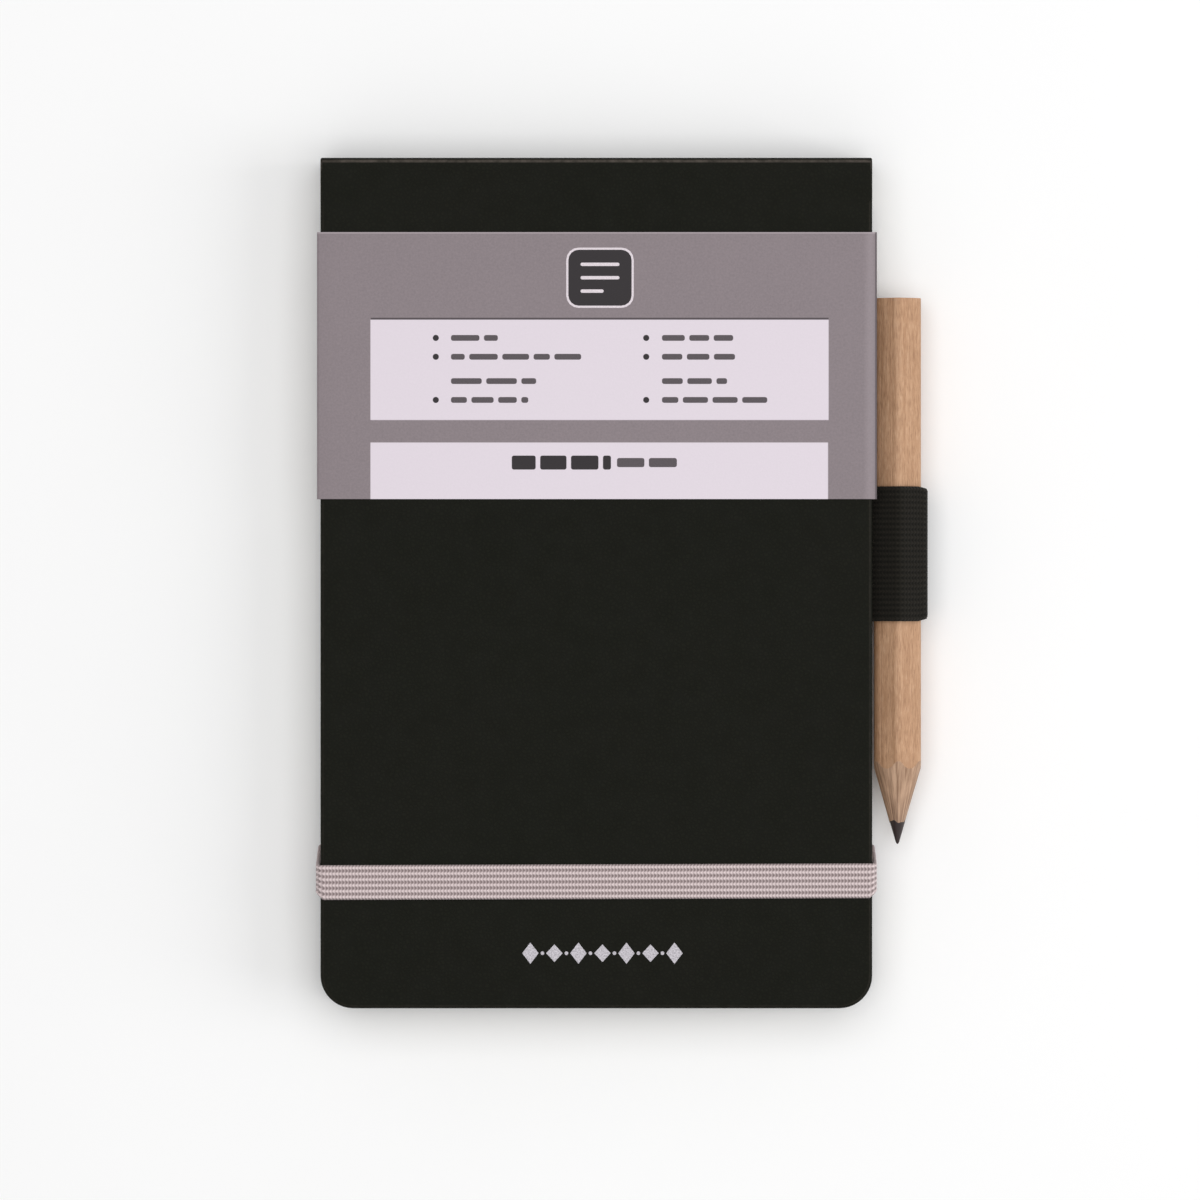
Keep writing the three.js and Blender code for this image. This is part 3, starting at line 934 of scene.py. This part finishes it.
def tape(name, path, centre_y, width_at, thick, ribs, rib_height, material, steps):
    """A ribbed tape along path, (x, z) points, with the middle and the width it has at each."""
    outer = spread(-0.5, 0.5, ribs * steps + 1)
    inner = spread(0.5, -0.5, ribs * 2 + 1)
    runs, length = [0.0], 0.0
    for (xa, za), (xb, zb) in zip(path, path[1:]):
        length += math.hypot(xb - xa, zb - za)
        runs.append(length)

    def full_at(t, width, edge=0.35):
        """1 across the tape, falling to 0 over its rounded edges."""
        return math.sqrt(min(1.0, (0.5 - abs(t)) * width / edge))

    points, run, across = [], [], []
    for i, (x, z) in enumerate(path):
        ax, az = path[max(i - 1, 0)]
        bx, bz = path[min(i + 1, len(path) - 1)]
        size = math.hypot(bx - ax, bz - az)
        nx, nz = -(bz - az) / size, (bx - ax) / size
        y, width = centre_y(x, z), width_at(x, z)
        section = []
        for t in outer:
            ridge = abs(math.sin(math.pi * ribs * (t + 0.5))) ** 0.7
            dip = rib_height * (1 - ridge)
            section.append((t, thick / 2 * (0.55 + 0.45 * full_at(t, width)) - dip))
        for t in inner:
            section.append((t, -thick / 2 * (0.5 + 0.5 * full_at(t, width))))
        for t, height in section:
            points.append((x + nx * height, y + t * width, z + nz * height))
            run.append(runs[i])
            across.append(t + 0.5)
    count = len(outer) + len(inner)
    faces = grid_faces(len(path), count, closed=True)
    last = (len(path) - 1) * count
    faces.append(tuple(reversed(range(count))))
    faces.append(tuple(range(last, last + count)))
    piece = mesh_object(name, points, faces, material, {"run": run, "across": across})
    face_outwards(piece)
    sharp_above(piece, 80)
    return piece


def strap():
    """The tape leaves the back cover, goes up past the front cover's edge and across it."""
    side = HALF_WIDTH + 0.06 + TAPE_THICK / 2
    top = TOP_Z + 0.05 + TAPE_THICK / 2
    r = 0.95
    half = TAPE_ROOT + [(side - 0.3, 2.8), (side - 0.05, 3.1), (side, 3.7)]
    half = smooth_path(half, 5)
    half += [(side, z) for z in spread(3.9, top - r, 18)]
    for i in range(1, 9):
        a = i / 8 * math.pi / 2
        half.append((side - r + r * math.cos(a), top - r + r * math.sin(a)))
    half += [(x, top) for x in spread(side - r - 0.3, 0.0, 60)]
    path = [(-x, z) for x, z in half] + [(x, z) for x, z in reversed(half[:-1])]

    def bent(x, z):
        """0 on the cover, rising to 1 where the strap turns down past its edge."""
        if z < TOP_Z / 2:
            return 1.0
        return clamp((abs(x) - HALF_WIDTH + 0.45) / 0.8)

    def centre_y(x, z):
        """Straight across the cover, leaning to the anchor down the sides."""
        lean_top, lean_foot = TOP_Z + 0.3, 3.4
        foot = clamp((lean_top - z) / (lean_top - lean_foot))
        front = STRAP_Y + STRAP_TILT * x
        return front + (STRAP_ANCHOR_Y - front) * foot + 0.35 * bent(x, z)

    def width_at(x, z):
        return STRAP_WIDTH - 0.8 * bent(x, z)

    piece = tape("strap_tape", path, centre_y, width_at, TAPE_THICK, 6, 0.14, STRAP, 8)
    blend_by_height(piece)
    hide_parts("strap", "strap_tail_left", "strap_tail_right")


strap()


def loop():
    """The tape leaves the back cover, goes under and round the pencil, and comes back."""
    low, high = node_box("pencil_loop")
    rounding, gap = 0.5, 0.22  # of the pencil's corners, and between pencil and tape
    corner = rounding + gap + TAPE_THICK / 2
    reach = (FLATS / 2 - rounding) / math.cos(math.pi / 6)
    root = TAPE_ROOT + [(45.5, 2.66), (45.8, 2.54)]

    def on_bend(k, degrees):
        """A point where the tape bends round corner k of the pencil."""
        facing, a = math.radians(210 + 60 * k), math.radians(degrees)
        cx = LOOP_X + reach * math.cos(facing)
        cz = PENCIL_Z + reach * math.sin(facing)
        return cx + corner * math.cos(a), cz + corner * math.sin(a)

    # First and last angle of each bend. Between two bends the tape runs straight along a flat.
    bends = [(240, 240), (240, 300), (300, 360), (0, 60), (60, 120), (120, 180)]
    ring = []
    for k, (first, last) in enumerate(bends):
        for i in range(1 if first == last else 7):
            ring.append(on_bend(k, first + (last - first) * i / 6))
        if k < len(bends) - 1:
            px, pz = ring[-1]
            bx, bz = on_bend(k + 1, 240 + 60 * k)
            ring += [(px + (bx - px) * t, pz + (bz - pz) * t) for t in (0.25, 0.5, 0.75)]
    left = ring[-1][0]
    end = [(left, 5.2), (left, 4.3), (left - 0.02, 3.95), (left - 0.25, 3.6), (45.0, 3.46)]
    end += [(44.4, 3.44), (43.95, 3.44)]
    path = smooth_path(root, 4) + ring + end
    middle = (low[1] + high[1]) / 2
    width = high[1] - low[1]

    def neck(x, z):
        """0 over the pencil, rising to 1 at the loop's outer side and underneath."""
        return max(clamp((x - PENCIL_X - 3.4) / 1.4), clamp((PENCIL_Z - z) / 3.0) * (x > 45.8))

    def centre_y(x, z):
        return middle + 0.04 * neck(x, z)

    def width_at(x, z):
        return width - 0.9 * neck(x, z)

    piece = tape("loop_tape", path, centre_y, width_at, TAPE_THICK, 25, 0.07, LOOP, 5)
    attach(piece, "book")
    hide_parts("pencil_loop")


loop()


# ---- Endpaper fold ------------------------------------------------------------------------------


# (y, z) from the block's bound edge up the joint to the cover's inside.
FOLD_PATH = [(67.15, 10.52), (67.12, 10.8), (66.95, 11.2), (66.5, 11.6), (65.7, 11.85)]
FOLD_PATH += [(64.8, 11.8), (63.9, 11.5), (63.1, 11.15), (62.4, 10.92), (61.6, 10.83)]


def endpaper_fold():
    low, high = node_box("front_endpaper_fold")
    path = smooth_path(FOLD_PATH, 5)
    xs = spread(low[0], high[0], 9)
    points = [(x, y, z) for y, z in path for x in xs]
    piece = mesh_object("endpaper_hinge", points, grid_faces(len(path), len(xs)), FLYLEAF)
    thicken(piece, 0.08, 0.0)
    return piece


fold = endpaper_fold()
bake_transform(fold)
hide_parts("front_endpaper_fold")

# A strip on the block where the fold starts.
low, high = node_box("front_endpaper_fold")
corners = [(low[0], 61.7, 10.4), (high[0], 67.14, 10.49)]
gutter_strip = rounded_plate("endpaper_gutter", corners, ENDPAPER, 0.02, 1)
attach(gutter_strip, "book")


# ---- Pencil -------------------------------------------------------------------------------------

PENCIL_TIP = node_box("pencil_lead")[0][1]
PENCIL_END = node_box("pencil_wood")[1][1]
POINT_SLOPE = 0.29
POINT_APEX = PENCIL_TIP - 0.2 / POINT_SLOPE
LEAD_RADIUS = 1.25
LEAD_GAP = 0.03
END_ROUND = 0.12


def hexagon_radius(angle, corner=1.5):
    """Distance to a hexagon with rounded corners, one corner straight up."""
    apothem = FLATS / 2
    step = math.pi / 3
    local = (angle - math.pi / 2 + step / 2) % step - step / 2
    reach = (apothem - corner) / math.cos(math.pi / 6)
    flat = apothem / math.cos(abs(local) - math.pi / 6)
    across = reach * math.sin(abs(local))
    if across >= corner * math.sin(math.pi / 6):
        return flat
    return reach * math.cos(local) + math.sqrt(corner**2 - across**2)


def pencil_wood():
    """The hexagonal body, with scallops where the sharpened cone cuts its flats."""
    turns = 240
    points, cut = [], []
    rows = [("cone", k / 15) for k in range(16)]
    rows.append(("body", 0.0008))  # close to the scallops, so that their edge stays crisp
    rows += [("body", k / 24) for k in range(1, 25)]
    rows += [("end", 0.35), ("end", 0.75), ("end", 1.0), ("face", 0.6), ("face", 0.0)]
    start_r = LEAD_RADIUS + 0.04
    for kind, t in rows:
        for j in range(turns):
            angle = TAU * j / turns
            full = hexagon_radius(angle)
            wobble = 0.2 * math.sin(3 * angle + 1.0) + 0.09 * math.sin(7 * angle)
            start_y = POINT_APEX + start_r / POINT_SLOPE + wobble
            break_y = POINT_APEX + full / POINT_SLOPE
            if kind == "cone":
                r = start_r + (full - start_r) * t
                y = start_y + (break_y - start_y) * t
            elif kind == "body":
                r = full
                y = break_y + (PENCIL_END - END_ROUND - break_y) * t
            elif kind == "end":
                r = full - END_ROUND * (1 - math.cos(t * math.pi / 2))
                y = PENCIL_END - END_ROUND + END_ROUND * math.sin(t * math.pi / 2)
            else:
                r = LEAD_RADIUS + LEAD_GAP + (full - END_ROUND - LEAD_RADIUS) * t
                y = PENCIL_END
            points.append((PENCIL_X + r * math.cos(angle), y, PENCIL_Z + r * math.sin(angle)))
            cut.append({"cone": 1.0 - 0.85 * t, "face": 0.3}.get(kind, 0.0))
    faces = grid_faces(len(rows), turns, closed=True)
    inner = len(points)
    for y in (PENCIL_END - 0.6, PENCIL_TIP + 6.0):
        for j in range(turns):
            angle = TAU * j / turns
            r = LEAD_RADIUS + LEAD_GAP
            points.append((PENCIL_X + r * math.cos(angle), y, PENCIL_Z + r * math.sin(angle)))
            cut.append(1.0)
    last = (len(rows) - 1) * turns
    for a, b in ((last, inner), (inner, inner + turns), (inner + turns, 0)):
        for j in range(turns):
            n = (j + 1) % turns
            faces.append((a + j, a + n, b + n, b + j))
    piece = mesh_object("pencil_body", points, faces, WOOD, {"cut": cut})
    face_outwards(piece)
    sharp_above(piece, 12)
    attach(piece, "pencil")
    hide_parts("pencil_wood")


def pencil_lead():
    turns = 64
    profile = [(0.0, PENCIL_TIP), (0.08, PENCIL_TIP + 0.02), (0.16, PENCIL_TIP + 0.09)]
    profile.append((0.22, PENCIL_TIP + 0.22))
    for r in spread(0.3, LEAD_RADIUS, 10):
        profile.append((r, POINT_APEX + r / POINT_SLOPE + 0.02))
    profile += [(LEAD_RADIUS, PENCIL_TIP + 12), (LEAD_RADIUS, PENCIL_END - 0.03)]
    profile += [(LEAD_RADIUS - 0.06, PENCIL_END), (0.0, PENCIL_END)]
    points = []
    for r, y in profile[1:-1]:
        for j in range(turns):
            a = TAU * j / turns
            points.append((PENCIL_X + r * math.cos(a), y, PENCIL_Z + r * math.sin(a)))
    faces = grid_faces(len(profile) - 2, turns, closed=True)
    tip, end = len(points), len(points) + 1
    points += [(PENCIL_X, PENCIL_TIP, PENCIL_Z), (PENCIL_X, PENCIL_END, PENCIL_Z)]
    last = (len(profile) - 3) * turns
    for j in range(turns):
        n = (j + 1) % turns
        faces.append((tip, n, j))
        faces.append((end, last + j, last + n))
    piece = mesh_object("pencil_core", points, faces, GRAPHITE)
    face_outwards(piece)
    sharp_above(piece, 40)
    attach(piece, "pencil")
    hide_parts("pencil_lead")


pencil_wood()
pencil_lead()


# ---- Stage, light and camera --------------------------------------------------------------------


def floor():
    g = Graph("pale_floor", Specular_IOR_Level=0.1)
    cloudy = g.noise(g.place(), 60.0, 3)
    tone = g.mix(cloudy, rgb(250, 250, 250), rgb(253, 253, 253))
    rough = g.between(cloudy, 0.0, 1.0, 0.85, 0.95)
    g.finish(tone, rough)
    size, level = 3000, -0.06
    corners = [(size * x, size * y, level) for x, y in ((-1, -1), (1, -1), (1, 1), (-1, 1))]
    made = mesh_object("floor", corners, [(0, 1, 2, 3)], g.material, smooth=False)


def area_light(name, place, aim, size, power):
    data = bpy.data.lights.new(name, "AREA")
    data.shape = "RECTANGLE"
    data.size, data.size_y = size
    data.energy = power
    made = add_object(name, data)
    made.location = place
    made.rotation_mode = "QUATERNION"
    made.rotation_quaternion = (Vector(aim) - Vector(place)).to_track_quat("-Z", "Y")


floor()
area_light("softbox_above", (0.0, 0.2, 1.6), (0, 0, 0), (1.6, 1.6), 14.5)
area_light("softbox_right", (1.0, -0.1, 0.6), (0, 0, 0), (0.6, 0.9), 4.5)
world = bpy.data.worlds.new("studio")
world.use_nodes = True
background = world.node_tree.nodes["Background"]
background.inputs["Color"].default_value = (1.0, 1.0, 1.0, 1.0)
background.inputs["Strength"].default_value = 0.44
bpy.context.scene.world = world

FRAME_WIDTH = 197.4
FRAME_CENTRE = (0.6, -2.8)
CAMERA_DISTANCE = 1200.0
SENSOR_WIDTH = 36.0
camera_data = bpy.data.cameras.new("camera")
camera_data.sensor_width = SENSOR_WIDTH
camera_data.lens = SENSOR_WIDTH * CAMERA_DISTANCE / FRAME_WIDTH
camera_data.clip_start, camera_data.clip_end = 0.01, 20.0
camera = add_object("camera", camera_data)
camera.location = metres(*FRAME_CENTRE, TOP_Z + CAMERA_DISTANCE)
bpy.context.scene.camera = camera
bpy.context.scene.view_settings.view_transform = "Standard"
